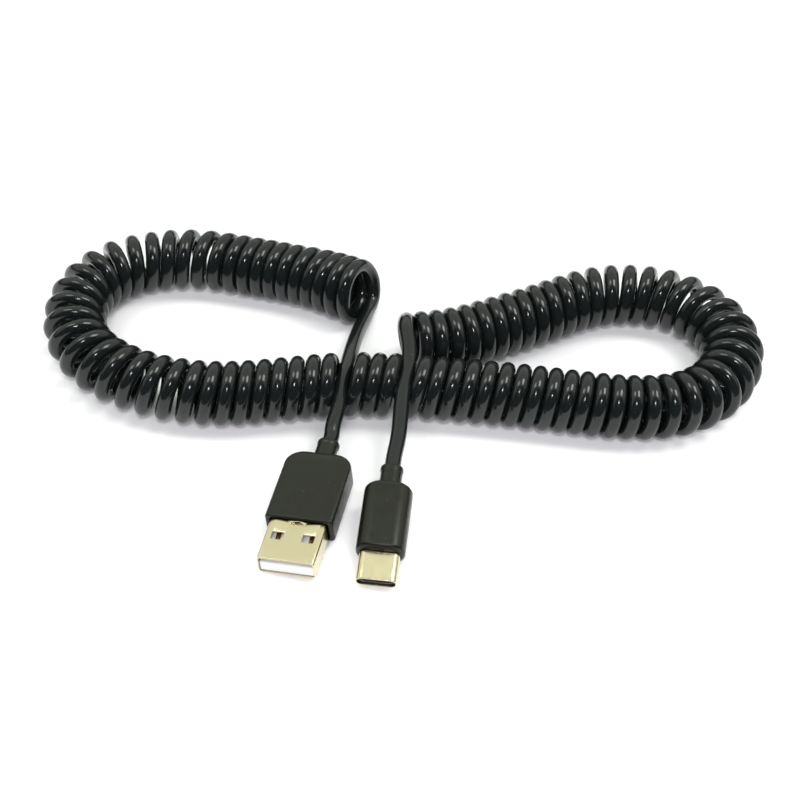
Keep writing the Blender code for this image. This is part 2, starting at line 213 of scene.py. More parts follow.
TURN_RADIUS = [(0, 6.1), (1, 6.1), (3, 5.8), (5, COIL_RADIUS)]     # turn number, and mm


def read_list(pairs, turns):
    return np.interp(turns, [turn for turn, _ in pairs], [value for _, value in pairs])


print("lean of turn 2 in degrees:", read_list(TURN_LEAN, 2.0))


# %% Directions along the coil
def unit(rows):
    return rows / np.linalg.norm(rows, axis=1)[:, None]


def coil_frame():
    """The coil's middle line with its forward, side and up directions, and its bend."""
    line = smooth_curve(COIL_ROUTE, ROUTE_STEPS)
    forward = np.gradient(line, axis=0)
    step = np.linalg.norm(forward, axis=1)
    forward = unit(forward)
    flat = unit(forward * (1.0, 1.0, 0.0))
    side = np.stack([flat[:, 1], -flat[:, 0], np.zeros(ROUTE_STEPS)], axis=1)
    up = unit(np.cross(side, forward))
    up *= np.where(up[:, 2:3] < 0.0, -1.0, 1.0)
    bend = np.linalg.norm(np.gradient(flat, axis=0), axis=1) / step
    padded = np.pad(bend, BEND_SMOOTHING // 2, mode="edge")
    bend = np.convolve(padded, np.ones(BEND_SMOOTHING) / BEND_SMOOTHING, "valid")
    return line, forward, side, up, bend, step


def count_turns(step, spacing, whole):
    """How many turns lie before each point of the route, with the given spacing."""
    turned = np.concatenate([[0.0], np.cumsum((step / spacing)[1:])])
    return turned * whole / turned[-1]


print("coil length along its middle in mm:", round(float(coil_frame()[-1].sum())))


# %% Leave a turn out at each slot
def skipped_turns(line, turned):
    """Turns left out so far: at each slot the cord runs along the floor past one turn's place."""
    skipped = np.zeros_like(turned)
    for x, y in TAIL_SLOTS:
        nearest = turned[np.argmin(np.hypot(line[:, 0] - x, line[:, 1] - y))]
        top = round(float(nearest) - TOP_OF_TURN) + TOP_OF_TURN
        late = np.clip((turned - top) / SLOT_EASE + 0.5, 0.0, 1.0)
        skipped += late * late * (3.0 - 2.0 * late)
        print("slot at turn", round(float(nearest), 2), "moved to", top)
    return skipped


print("slots for the tails:", len(TAIL_SLOTS))


# %% Wind the cord
def helix_points():
    """The cord's own middle line round and round the coil."""
    line, forward, side, up, bend, step = coil_frame()
    whole = TURNS + (USB_C_LEAVE_ANGLE - USB_A_LEAVE_ANGLE) / 360.0
    plain = CORD_SPACING / (1.0 - bend * COIL_RADIUS)
    turned = count_turns(step, plain, whole)
    for _ in range(SPACING_TRIES):
        yaw = np.radians(read_list(TURN_YAW, turned))
        lean = np.radians(read_list(TURN_LEAN, turned))
        turned = count_turns(step, plain / (np.cos(yaw) * np.cos(lean)), whole)
    lag = smooth_curve([(turn, late, 0.0) for turn, late in TURN_SHIFT], FINE_STEPS)
    turned = turned - np.interp(turned, lag[:, 0], lag[:, 1])
    turned = (turned - turned[0]) * whole / (turned[-1] - turned[0])
    wound = turned - skipped_turns(line, turned)

    places = np.linspace(0.0, wound[-1], round(wound[-1] * STEPS_PER_TURN) + 1)
    numbers = np.interp(places, wound, turned)

    def at(rows):
        return np.stack([np.interp(places, wound, rows[:, axis]) for axis in range(3)], axis=1)

    yaw = np.interp(places, wound, yaw)[:, None]
    lean = np.interp(places, wound, lean)[:, None]
    middle, along, outward, upward = at(line), unit(at(forward)), unit(at(side)), unit(at(up))
    outward = np.cos(yaw) * outward + np.sin(yaw) * along
    upward = np.cos(lean) * upward + np.sin(lean) * along
    angle = np.radians(USB_A_LEAVE_ANGLE) + 2.0 * np.pi * places[:, None]
    radius = read_list(TURN_RADIUS, numbers)[:, None]
    return middle + radius * (np.cos(angle) * outward + np.sin(angle) * upward)


helix = helix_points()
next_turn = np.linalg.norm(helix[STEPS_PER_TURN:] - helix[:-STEPS_PER_TURN], axis=1)
print("helix points:", len(helix), "closest two turns:", round(next_turn.min(), 2))

# %% [markdown]
# ## One line from plug to plug
#
# The real cord is one piece, so its line is too. Each tail's spline also runs through the
# first few points of the helix, so that it leaves the end turn without a kink. It starts
# inside the strain relief and comes straight out of it.

# %% Join tails and helix
USB_A_SHELL_SHOWN = 10.4
USB_A_GRIP_LENGTH = 18.7
USB_C_SHELL_SHOWN = 6.65
USB_C_GRIP_LENGTH = 16.5
RELIEF_LENGTH = 5.0
USB_A_PLUG_LENGTH = USB_A_SHELL_SHOWN + USB_A_GRIP_LENGTH + RELIEF_LENGTH
USB_C_PLUG_LENGTH = USB_C_SHELL_SHOWN + USB_C_GRIP_LENGTH + RELIEF_LENGTH
LEADS = (-1.5, 0.5, 2.3)        # places before and after the neck's end
TAIL_STEP = 0.9
SHARED_POINTS = 4               # helix points that the tail's spline runs through
SHARED_SKIP = 3
OWN_TURN_POINTS = 40            # helix points that belong to the tail's own end turn


def tail_line(place, plug_length, route, helix_start):
    """Even points from inside the neck up to the first point of the helix."""
    chosen = [tuple(place @ Vector((0.0, plug_length + lead, 0.0))) for lead in LEADS]
    chosen += list(reversed(route))
    shared = [tuple(point) for point in helix_start[0:SHARED_SKIP * SHARED_POINTS:SHARED_SKIP]]
    through = chosen + shared
    steps = [math.dist(a, b) for a, b in zip(through, through[1:])]
    joint = sum(steps[:len(chosen)]) / sum(steps)
    curve = smooth_curve(through, FINE_STEPS)[:int(joint * FINE_STEPS)]
    along = np.concatenate([[0.0], np.cumsum(np.linalg.norm(np.diff(curve, axis=0), axis=1))])
    places = np.linspace(0.0, along[-1], round(along[-1] / TAIL_STEP))[:-1]
    return np.stack([np.interp(places, along, curve[:, axis]) for axis in range(3)], axis=1)


usb_a_tail = tail_line(usb_a_place, USB_A_PLUG_LENGTH, USB_A_TAIL_ROUTE, helix)
usb_c_tail = tail_line(usb_c_place, USB_C_PLUG_LENGTH, USB_C_TAIL_ROUTE, helix[::-1])
cord_line = np.concatenate([usb_a_tail, helix, usb_c_tail[::-1]])
for tail, turns in ((usb_a_tail, helix[OWN_TURN_POINTS:]), (usb_c_tail, helix[:-OWN_TURN_POINTS])):
    near = np.linalg.norm(tail[:, None, :] - turns[None, :, :], axis=2).min(axis=1)
    print("closest to a turn:", round(near.min(), 2), "at", tail[near.argmin()].round(1))

# %% [markdown]
# ## Sweep the cord
#
# A tube along a curve object would do, but a coil this tight twists its sections. Here the
# rings are set one by one instead: each ring is carried over from the one before by the smallest
# turn, so that the quads stay even all along the cord. The map written with the faces holds the
# distance along the cord and the way round it, for the marks that the extruder left.

# %% Build the cord's mesh
CORD_SIDES = 18


def carried_frames(line):
    """Two directions across the line at each point, carried along with no twist."""
    forward = unit(np.gradient(line, axis=0))
    across = np.cross(forward[0], (0.0, 0.0, 1.0))
    firsts = []
    for direction in forward:
        across = across - direction * np.dot(across, direction)
        across = across / np.linalg.norm(across)
        firsts.append(across)
    firsts = np.array(firsts)
    return firsts, np.cross(forward, firsts)


def finish_mesh(name, points, faces, place=None):
    """A smooth-shaded piece from points in millimetres."""
    mesh = bpy.data.meshes.new(name)
    mesh.from_pydata([tuple(v * MM for v in point) for point in points], [], faces)
    mesh.update()
    mesh.shade_smooth()
    made = bpy.data.objects.new(name, mesh)
    bpy.context.collection.objects.link(made)
    if place is not None:
        made.matrix_world = Matrix.Translation(place.translation * MM) @ place.to_3x3().to_4x4()
    return made


def swept_tube(name, line, diameter, sides):
    first, second = carried_frames(line)
    angles = np.arange(sides) * 2.0 * np.pi / sides
    rings = (np.cos(angles)[None, :, None] * first[:, None, :]
             + np.sin(angles)[None, :, None] * second[:, None, :])
    points = (line[:, None, :] + rings * diameter / 2.0).reshape(-1, 3).tolist()
    along = np.concatenate([[0.0], np.cumsum(np.linalg.norm(np.diff(line, axis=0), axis=1))])
    faces, map_points = [], []
    for ring in range(len(line) - 1):
        base = ring * sides
        for i in range(sides):
            j = (i + 1) % sides
            faces.append((base + i, base + j, base + sides + j, base + sides + i))
            near, far = i / sides, (i + 1) / sides
            map_points += [(along[ring], near), (along[ring], far),
                           (along[ring + 1], far), (along[ring + 1], near)]
    for end in (tuple(reversed(range(sides))), tuple(range((len(line) - 1) * sides, len(line) * sides))):
        faces.append(end)
        map_points += [(0.0, 0.0)] * sides
    made = finish_mesh(name, points, faces)
    layer = made.data.uv_layers.new(name="along and around")
    layer.data.foreach_set("uv", np.array(map_points, dtype=float).ravel())
    return made


cord = swept_tube("curly_cord", cord_line, CORD_DIAMETER, CORD_SIDES)
print("cord faces:", len(cord.data.polygons))

# %% [markdown]
# ## Lofted pieces for the plugs
#
# Housings, necks and shells were all drawn or moulded along one straight line. So each is a
# loft: a row of rounded sections, joined face by face. A long radius then is simply a few more
# sections that shrink in a quarter circle.

# %% Sections and lofts
CORNER_STEPS = 9
SHARP_ANGLE = 40.0


def rounded_outline(width, height, corner):
    """Points round a rectangle with rounded corners."""
    corner = max(min(corner, width / 2.0, height / 2.0), 0.01)
    points = []
    for quarter in range(4):
        side_x = 1.0 if quarter in (0, 3) else -1.0
        side_z = 1.0 if quarter in (0, 1) else -1.0
        middle_x = side_x * (width / 2.0 - corner)
        middle_z = side_z * (height / 2.0 - corner)
        for step in range(CORNER_STEPS + 1):
            angle = math.radians(90.0 * (quarter + step / CORNER_STEPS))
            points.append((middle_x + corner * math.cos(angle), middle_z + corner * math.sin(angle)))
    return points


def rounded_end(end, outward, width, height, corner, plan_round, edge_round):
    """Sections from the full size to the end face, smaller all round by a quarter circle."""
    sections = []
    for step in range(CORNER_STEPS + 1):
        angle = math.radians(90.0 * step / CORNER_STEPS)
        y = end - outward * plan_round * (1.0 - math.sin(angle))
        less = 1.0 - math.cos(angle)
        sections.append((y, width - 2.0 * plan_round * less, height - 2.0 * edge_round * less, corner))
    return sections


def loft(name, sections, place, ring=False, shift=(0.0, 0.0)):
    """A piece through sections (y, width, height, corner), capped or closed in a ring."""
    points, faces = [], []
    for y, width, height, corner in sections:
        points += [(x + shift[0], y, z + shift[1]) for x, z in rounded_outline(width, height, corner)]
    around = len(points) // len(sections)
    rows = [(row, row + 1) for row in range(len(sections) - 1)]
    if ring:
        rows.append((len(sections) - 1, 0))
    else:
        faces.append(tuple(range(around)))
        faces.append(tuple(reversed(range(len(points) - around, len(points)))))
    for first, second in rows:
        for i in range(around):
            j = (i + 1) % around
            faces.append((first * around + j, first * around + i, second * around + i, second * around + j))
    made = finish_mesh(name, points, faces, place)
    clean = bmesh.new()
    clean.from_mesh(made.data)
    bmesh.ops.recalc_face_normals(clean, faces=clean.faces)
    clean.to_mesh(made.data)
    clean.free()
    made.data.set_sharp_from_angle(angle=math.radians(SHARP_ANGLE))
    return made


print("points round one section:", len(rounded_outline(12.0, 4.5, 0.6)))

# %% [markdown]
# ## Finishes shared by several materials
#
# Nothing real has one even colour and one even gloss. The marks that several finishes share are
# node groups, built once: how the gloss drifts from place to place, hairline scratches, dust
# specks, the skin that a mould or a die leaves, and edges worn by hands. Each material gives
# them its own numbers.

# %% Helpers for node groups


def new_group(name, inputs, outputs):
    """A shader node group with number inputs and outputs; returns it with its two end nodes."""
    group = bpy.data.node_groups.new(name, "ShaderNodeTree")
    for label, value in inputs:
        socket = group.interface.new_socket(label, in_out="INPUT", socket_type="NodeSocketFloat")
        socket.default_value = value
    for label in outputs:
        group.interface.new_socket(label, in_out="OUTPUT", socket_type="NodeSocketFloat")
    return group, group.nodes.new("NodeGroupInput"), group.nodes.new("NodeGroupOutput")


def wire(tree, *ends):
    """Links outputs to inputs, given as pairs."""
    for outlet, inlet in zip(ends[::2], ends[1::2]):
        tree.links.new(outlet, inlet)


def math_node(tree, operation, first, second=None):
    node = tree.nodes.new("ShaderNodeMath")
    node.operation = operation
    for slot, value in zip(node.inputs, (first, second)):
        if isinstance(value, (int, float)):
            slot.default_value = value
        elif value is not None:
            tree.links.new(value, slot)
    return node.outputs["Value"]


def range_node(tree, value, from_low, from_high, to_low=0.0, to_high=1.0):
    node = tree.nodes.new("ShaderNodeMapRange")
    settings = (from_low, from_high, to_low, to_high)
    for label, setting in zip(("From Min", "From Max", "To Min", "To Max"), settings):
        if isinstance(setting, (int, float)):
            node.inputs[label].default_value = setting
        else:
            tree.links.new(setting, node.inputs[label])
    tree.links.new(value, node.inputs["Value"])
    return node.outputs["Result"]


def noise_node(tree, place, scale, detail=2.0):
    node = tree.nodes.new("ShaderNodeTexNoise")
    node.inputs["Detail"].default_value = detail
    tree.links.new(place, node.inputs["Vector"])
    if isinstance(scale, (int, float)):
        node.inputs["Scale"].default_value = scale
    else:
        tree.links.new(scale, node.inputs["Scale"])
    return node.outputs["Fac"]


print("node helpers are ready")

# %% Gloss that drifts


def gloss_drift_group():
    group, start, end = new_group(
        "gloss drift", [("Scale", 300.0), ("Low", 0.2), ("High", 0.3)], ["Roughness"])
    place = group.nodes.new("ShaderNodeTexCoord").outputs["Object"]
    broad = noise_node(group, place, start.outputs["Scale"], 3.0)
    wire(group, range_node(group, broad, 0.35, 0.65, start.outputs["Low"], start.outputs["High"]),
         end.inputs["Roughness"])
    return group


gloss_drift = gloss_drift_group()
print("group:", gloss_drift.name)

# %% Hairline scratches


def scratches_group():
    group, start, end = new_group("hairline scratches", [("Scale", 200.0), ("Amount", 0.5)], ["Mask"])
    place = group.nodes.new("ShaderNodeTexCoord").outputs["Object"]
    found = []
    for turn, stretch in ((0.5, 30.0), (-0.9, 45.0), (1.4, 25.0)):
        mapping = group.nodes.new("ShaderNodeMapping")
        mapping.inputs["Rotation"].default_value = (0.0, 0.0, turn)
        mapping.inputs["Scale"].default_value = (stretch, 1.0, 1.0)
        wire(group, place, mapping.inputs["Vector"])
        stripes = noise_node(group, mapping.outputs["Vector"], start.outputs["Scale"], 1.0)
        found.append(range_node(group, stripes, 0.70, 0.76))
    both = math_node(group, "MAXIMUM", found[0], found[1])
    every = math_node(group, "MAXIMUM", both, found[2])
    wire(group, math_node(group, "MULTIPLY", every, start.outputs["Amount"]), end.inputs["Mask"])
    return group


scratches = scratches_group()
print("group:", scratches.name)

# %% Dust specks


def dust_group():
    group, start, end = new_group("dust specks", [("Scale", 900.0), ("Size", 0.12), ("Share", 0.1)], ["Mask"])
    place = group.nodes.new("ShaderNodeTexCoord").outputs["Object"]
    cells = group.nodes.new("ShaderNodeTexVoronoi")
    wire(group, place, cells.inputs["Vector"], start.outputs["Scale"], cells.inputs["Scale"])
    pick = group.nodes.new("ShaderNodeSeparateColor")
    wire(group, cells.outputs["Color"], pick.inputs["Color"])
    few = math_node(group, "LESS_THAN", pick.outputs["Red"], start.outputs["Share"])
    speck = math_node(group, "LESS_THAN", cells.outputs["Distance"], start.outputs["Size"])
    wire(group, math_node(group, "MULTIPLY", few, speck), end.inputs["Mask"])
    return group


dust = dust_group()
print("group:", dust.name)

# %% Moulded skin


def moulded_skin_group():
    group, start, end = new_group("moulded skin", [("Scale", 2500.0), ("Waves", 250.0)], ["Height"])
    place = group.nodes.new("ShaderNodeTexCoord").outputs["Object"]
    fine = noise_node(group, place, start.outputs["Scale"], 2.0)
    broad = noise_node(group, place, start.outputs["Waves"], 1.0)
    wire(group, math_node(group, "ADD", math_node(group, "MULTIPLY", fine, 0.3), broad),
         end.inputs["Height"])
    return group


moulded_skin = moulded_skin_group()
print("group:", moulded_skin.name)

# %% Worn edges


def worn_edge_group():
    group, start, end = new_group("worn edge", [("Sharpness", 0.53), ("Break up", 600.0)], ["Mask"])
    geometry = group.nodes.new("ShaderNodeNewGeometry")
    place = group.nodes.new("ShaderNodeTexCoord").outputs["Object"]
    high = math_node(group, "ADD", start.outputs["Sharpness"], 0.06)
    edge = range_node(group, geometry.outputs["Pointiness"], start.outputs["Sharpness"], high)
    breaks = range_node(group, noise_node(group, place, start.outputs["Break up"], 3.0), 0.4, 0.6)
    wire(group, math_node(group, "MULTIPLY", edge, breaks), end.inputs["Mask"])
    return group


worn_edge = worn_edge_group()
print("group:", worn_edge.name)

# %% Helpers for materials


def new_material(name, **settings):
    """A material with its Principled BSDF set; returns it, its node tree and the shader."""
    made = bpy.data.materials.new(name)
    made.use_nodes = True
    shader = made.node_tree.nodes["Principled BSDF"]
    for label, value in settings.items():
        shader.inputs[label.replace("_", " ")].default_value = value
    return made, made.node_tree, shader


def use_group(tree, group, **settings):
    node = tree.nodes.new("ShaderNodeGroup")
    node.node_tree = group
    for label, value in settings.items():
        node.inputs[label.replace("_", " ")].default_value = value
    return node.outputs[0]


def mixed_colour(tree, mask, base, other):
    node = tree.nodes.new("ShaderNodeMix")
    node.data_type = "RGBA"
    for slot, colour in ((node.inputs["A"], base), (node.inputs["B"], other)):
        if isinstance(colour, tuple):
            slot.default_value = (*colour, 1.0)
        else:
            tree.links.new(colour, slot)
    tree.links.new(mask, node.inputs["Factor"])
    return node.outputs["Result"]


def add_bump(tree, shader, height, distance, strength=1.0):
    node = tree.nodes.new("ShaderNodeBump")
    node.inputs["Distance"].default_value = distance
    node.inputs["Strength"].default_value = strength
    wire(tree, height, node.inputs["Height"], node.outputs["Normal"], shader.inputs["Normal"])


print("material helpers are ready")

# %% [markdown]
# ## Glossy PVC
#
# The jacket is PVC that was extruded hot through a die, so it is black right through and as
# glossy as a wet stone. The die leaves faint lines along the cord and the surface is never
# quite flat, which makes each highlight's edge a little uneven.

# %% Black PVC


def cord_material():
    made, tree, shader = new_material("glossy black PVC", Specular_IOR_Level=0.42)
    place = tree.nodes.new("ShaderNodeUVMap")
    place.uv_map = "along and around"
    parts = tree.nodes.new("ShaderNodeSeparateXYZ")
    turn = math_node(tree, "MULTIPLY", parts.outputs["Y"], 2.0 * math.pi)
    ring = tree.nodes.new("ShaderNodeCombineXYZ")
    wire(tree, place.outputs["UV"], parts.inputs["Vector"],
         math_node(tree, "COSINE", turn), ring.inputs["X"],
         math_node(tree, "SINE", turn), ring.inputs["Y"],
         math_node(tree, "MULTIPLY", parts.outputs["X"], 0.01), ring.inputs["Z"])
    lines = noise_node(tree, ring.outputs["Vector"], 9.0, 2.0)
    skin = use_group(tree, moulded_skin, Scale=800.0, Waves=170.0)
    height = math_node(tree, "ADD", math_node(tree, "MULTIPLY", lines, 0.4), skin)
    add_bump(tree, shader, height, 0.000007)
    specks = use_group(tree, dust, Scale=1400.0, Size=0.13, Share=0.05)
    marks = use_group(tree, scratches, Scale=160.0, Amount=0.5)
    gloss = use_group(tree, gloss_drift, Scale=420.0, Low=0.11, High=0.18)
    rough = math_node(tree, "ADD", gloss, math_node(tree, "MULTIPLY", marks, 0.15))
    rough = math_node(tree, "ADD", rough, math_node(tree, "MULTIPLY", specks, 0.4))
    wire(tree, mixed_colour(tree, specks, (0.0062, 0.0079, 0.0077), (0.05, 0.048, 0.045)),
         shader.inputs["Base Color"], rough, shader.inputs["Roughness"])
    return made


black_pvc = cord_material()
cord.data.materials.append(black_pvc)
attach(cord, "root")
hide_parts("coiled_cord", "usb_a_tail", "usb_c_tail")
print("material:", black_pvc.name)

# %% [markdown]
# ## The moulded plastics
#
# The two grips are moulded round the plugs. The mould was polished and then lightly blasted, so
# they are a little less glossy than the cord, with soft reflections. Edges that hands rub get
# smoother, so their gloss goes up. The tongue in the USB-A shell is plain white plastic.

# %% Housing, white and black plastics


def housing_material():
    made, tree, shader = new_material("moulded black grip", Specular_IOR_Level=0.34)
    skin = use_group(tree, moulded_skin, Scale=9000.0, Waves=350.0)
    add_bump(tree, shader, skin, 0.00002)
    gloss = use_group(tree, gloss_drift, Scale=350.0, Low=0.26, High=0.36)
    marks = use_group(tree, scratches, Scale=170.0, Amount=0.4)
    specks = use_group(tree, dust, Scale=1300.0, Size=0.12, Share=0.06)
    wear = use_group(tree, worn_edge)
    rough = math_node(tree, "SUBTRACT", gloss, math_node(tree, "MULTIPLY", wear, 0.1))
    rough = math_node(tree, "ADD", rough, math_node(tree, "MULTIPLY", marks, 0.12))
    colour = mixed_colour(tree, wear, (0.006, 0.007, 0.003), (0.011, 0.012, 0.008))
    colour = mixed_colour(tree, specks, colour, (0.09, 0.085, 0.08))
    wire(tree, colour, shader.inputs["Base Color"], rough, shader.inputs["Roughness"])
    return made


def insulator_material(name, colour, faint, low, high):
    made, tree, shader = new_material(name)
    add_bump(tree, shader, use_group(tree, moulded_skin, Scale=7000.0, Waves=500.0), 0.000015)
    gloss = use_group(tree, gloss_drift, Scale=700.0, Low=low, High=high)
    marks = use_group(tree, scratches, Scale=300.0, Amount=0.3)
    wire(tree, mixed_colour(tree, marks, colour, faint), shader.inputs["Base Color"],
         gloss, shader.inputs["Roughness"])
    return made


black_grip = housing_material()
white_plastic = insulator_material("white insulator", (0.70, 0.69, 0.69), (0.6, 0.58, 0.57), 0.3, 0.45)
black_plastic = insulator_material("black insulator", (0.03, 0.03, 0.032), (0.06, 0.06, 0.06), 0.4, 0.55)
print("plastics:", black_grip.name, white_plastic.name, black_plastic.name)

# %% [markdown]
# ## Warm nickel and gold
#
# The shells are steel sheet with a nickel plate that has a yellow cast. Drawing the sheet leaves
# fine lines along it, and sockets leave hairline scratches from plugging in. The contacts are
# plated with gold.

# %% Metals


def plated_material(name, colour, worn, low, high, lines_depth):
    made, tree, shader = new_material(name, Metallic=1.0)
    place = tree.nodes.new("ShaderNodeTexCoord").outputs["Object"]
    mapping = tree.nodes.new("ShaderNodeMapping")
    mapping.inputs["Scale"].default_value = (1.0, 0.03, 1.0)
    wire(tree, place, mapping.inputs["Vector"])
    lines = noise_node(tree, mapping.outputs["Vector"], 9000.0, 3.0)
    marks = use_group(tree, scratches, Scale=1100.0, Amount=0.3)
    height = math_node(tree, "SUBTRACT", lines, marks)
    add_bump(tree, shader, height, lines_depth)
    gloss = use_group(tree, gloss_drift, Scale=500.0, Low=low, High=high)
    rough = math_node(tree, "ADD", gloss, math_node(tree, "MULTIPLY", marks, 0.15))
    wire(tree, mixed_colour(tree, marks, colour, worn), shader.inputs["Base Color"],
         rough, shader.inputs["Roughness"])
    return made


warm_nickel = plated_material("warm nickel plate", (0.70, 0.62, 0.41), (0.82, 0.76, 0.60),
                              0.16, 0.26, 0.000006)
gold_plate = plated_material("gold plate", (0.85, 0.58, 0.24), (0.9, 0.72, 0.42), 0.16, 0.28, 0.000004)
print("metals:", warm_nickel.name, gold_plate.name)


# %% Dress a piece
SOFT_EDGE_ANGLE = 50.0          # degrees between two faces above which their edge is rounded


def dress(piece, look, slot, *nodes):
    """Gives a piece its finish, hangs it under the root and hides the solids that it stands for."""
    piece.data.materials.append(look)
    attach(piece, "root")
    if nodes:
        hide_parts(*nodes)
    return piece


def soften_edges(piece, width, segments=2):
    bevel = piece.modifiers.new("soft edges", "BEVEL")
    bevel.width = width * MM
    bevel.segments = segments
    bevel.limit_method = "ANGLE"
    bevel.angle_limit = math.radians(SOFT_EDGE_ANGLE)
    bevel.harden_normals = False


print("dressing is ready")

# %% [markdown]
# ## The USB-A shell
#
# The shell is folded from thin sheet. Its front edge is rolled in, so that it finds the socket.
# Two square windows in the top and two in the bottom catch the springs in the socket, and an
# oval pocket at the root locks the shell in its grip. The windows and the pocket are cut out
# of the finished tube with a boolean, as a punch would do it.

# %% USB-A sizes
USB_A_SHELL = (12.0, 4.5)
USB_A_SHELL_SEATED = 4.0
USB_A_SHELL_WALL = 0.3
USB_A_SHELL_CORNER = 0.6
USB_A_LEAD_IN = 0.15            # how far the front edge is rolled in
USB_A_CUT_ROUND = 0.05          # round on the edges of the cuts
USB_A_WINDOW = (2.5, 2.0)       # width and length
USB_A_WINDOW_BACK = 5.16
USB_A_WINDOW_APART = 4.0
WINDOW_CORNER = 0.25
LATCH = (3.0, 1.7)              # the oval pocket's width and length
LATCH_FROM_GRIP = 0.1
LATCH_FLOOR = (3.8, 0.2, 2.6)   # width, thickness and length
LATCH_FLOOR_DEPTH = 0.43
LATCH_FLOOR_CORNER = 0.08
RIM_STEPS = 6


def rolled_tube(width, height, corner, wall, length, lead_in):
    """Sections of a thin tube whose front edge is rolled in, all the way round the sheet."""
    sections = [(length, width, height, corner)]
    for step in range(RIM_STEPS + 1):
        angle = math.radians(90.0 * step / RIM_STEPS)
        inset = lead_in * (1.0 - math.cos(angle))
        y = lead_in * (1.0 - math.sin(angle))
        sections.append((y, width - 2.0 * inset, height - 2.0 * inset, corner))
    thin = lead_in + wall / 2.0
    sections.append((0.0, width - 2.0 * thin, height - 2.0 * thin, corner - wall / 2.0))
    sections.append((wall, width - 2.0 * wall, height - 2.0 * wall, corner - wall))
    sections.append((length, width - 2.0 * wall, height - 2.0 * wall, corner - wall))
    return sections


def oval_outline(width, length):
    count = 4 * CORNER_STEPS
    angles = [2.0 * math.pi * step / count for step in range(count)]
    return [(width / 2.0 * math.cos(angle), length / 2.0 * math.sin(angle)) for angle in angles]


def punch(target, name, outline, middle, low, high, place):
    """Cuts a flat outline through the target, from low to high."""
    count = len(outline)
    points = [(x + middle[0], y + middle[1], z) for z in (low, high) for x, y in outline]
    faces = [tuple(reversed(range(count))), tuple(range(count, 2 * count))]
    faces += [(i, (i + 1) % count, count + (i + 1) % count, count + i) for i in range(count)]
    cutter = finish_mesh(name, points, faces, place)
    cutter.hide_render = True
    cutter.hide_viewport = True
    boolean = target.modifiers.new(name, "BOOLEAN")
    boolean.operation = "DIFFERENCE"
    boolean.solver = "EXACT"
    boolean.object = cutter
    return cutter


def keep_result(piece, cutters):
    """Turns the modifiers' result into the piece's own mesh and removes the cutters."""
    bpy.context.view_layer.update()
    result = bpy.data.meshes.new_from_object(piece.evaluated_get(bpy.context.evaluated_depsgraph_get()))
    piece.modifiers.clear()
    piece.data = result
    for cutter in cutters:
        bpy.data.objects.remove(cutter, do_unlink=True)
    piece.data.set_sharp_from_angle(angle=math.radians(SHARP_ANGLE))


latch_middle = USB_A_SHELL_SHOWN - LATCH_FROM_GRIP - LATCH[1] / 2.0
print("latch pocket's middle, from the tip:", latch_middle)

# %% USB-A shell


def usb_a_shell():
    width, height = USB_A_SHELL
    length = USB_A_SHELL_SHOWN + USB_A_SHELL_SEATED
    sections = rolled_tube(width, height, USB_A_SHELL_CORNER, USB_A_SHELL_WALL, length,
                           USB_A_LEAD_IN)
    metal = loft("usb_a_metal_shell", sections, usb_a_place, ring=True)
    cutters = []
    window_x = (USB_A_WINDOW_APART + USB_A_WINDOW[0]) / 2.0
    window_y = USB_A_WINDOW_BACK + USB_A_WINDOW[1] / 2.0
    window = rounded_outline(*USB_A_WINDOW, WINDOW_CORNER)
    for side, x in (("left", -window_x), ("right", window_x)):
        cutters.append(punch(metal, "window " + side, window, (x, window_y), -height, height, usb_a_place))
    cutters.append(punch(metal, "latch", oval_outline(*LATCH), (0.0, latch_middle), 0.0, height, usb_a_place))
    soften_edges(metal, USB_A_CUT_ROUND)
    keep_result(metal, cutters)
    return metal


def latch_floor():
    """The sheet one sees under the oval pocket."""
    width, thickness, length = LATCH_FLOOR
    sections = [(y, width, thickness, LATCH_FLOOR_CORNER)
                for y in (latch_middle - length / 2.0, latch_middle + length / 2.0)]
    height = USB_A_SHELL[1] / 2.0 - LATCH_FLOOR_DEPTH
    return loft("usb_a_latch_floor", sections, usb_a_place, shift=(0.0, height))


metal_shell = dress(usb_a_shell(), warm_nickel, "nickel", "usb_a_shell")
dress(latch_floor(), warm_nickel, "nickel")
print("USB-A shell faces:", len(metal_shell.data.polygons))

# %% [markdown]
# ## Inside the USB-A shell
#
# A white tongue lies on the floor of the shell and carries four gold strips. Its front edge is
# bevelled and the strips' ends are rounded, so that the socket's springs ride up on them.

# %% Tongue and contacts
FACE_GAP = 0.3
TONGUE_GAP = 0.05
TONGUE_HEIGHT = 2.5
TONGUE_BACK = 0.2               # behind the shell's front edge
TONGUE_CORNER = 0.2
TONGUE_BEVEL = 0.25
CONTACT_WIDTH = 1.0
CONTACT_THICK = 0.2
CONTACT_CORNER = 0.05
CONTACT_ROUND = 0.08
CONTACT_LENGTH = 7.0
CONTACT_BACK = 1.6              # behind the tongue's front edge
CONTACT_PLACES = (-3.5, -1.0, 1.0, 3.5)

inner_width = USB_A_SHELL[0] - 2.0 * USB_A_SHELL_WALL
inner_height = USB_A_SHELL[1] - 2.0 * USB_A_SHELL_WALL
tongue_low = -inner_height / 2.0 + TONGUE_GAP
tongue_top = tongue_low + TONGUE_HEIGHT


def tongue():
    width = inner_width - 2.0 * TONGUE_GAP
    length = USB_A_SHELL_SHOWN + USB_A_SHELL_SEATED
    sections = rounded_end(TONGUE_BACK, -1.0, width, TONGUE_HEIGHT, TONGUE_CORNER,
                           TONGUE_BEVEL, TONGUE_BEVEL)[::-1]
    sections.append((length, width, TONGUE_HEIGHT, TONGUE_CORNER))
    return loft("usb_a_tongue", sections, usb_a_place, shift=(0.0, (tongue_low + tongue_top) / 2.0))


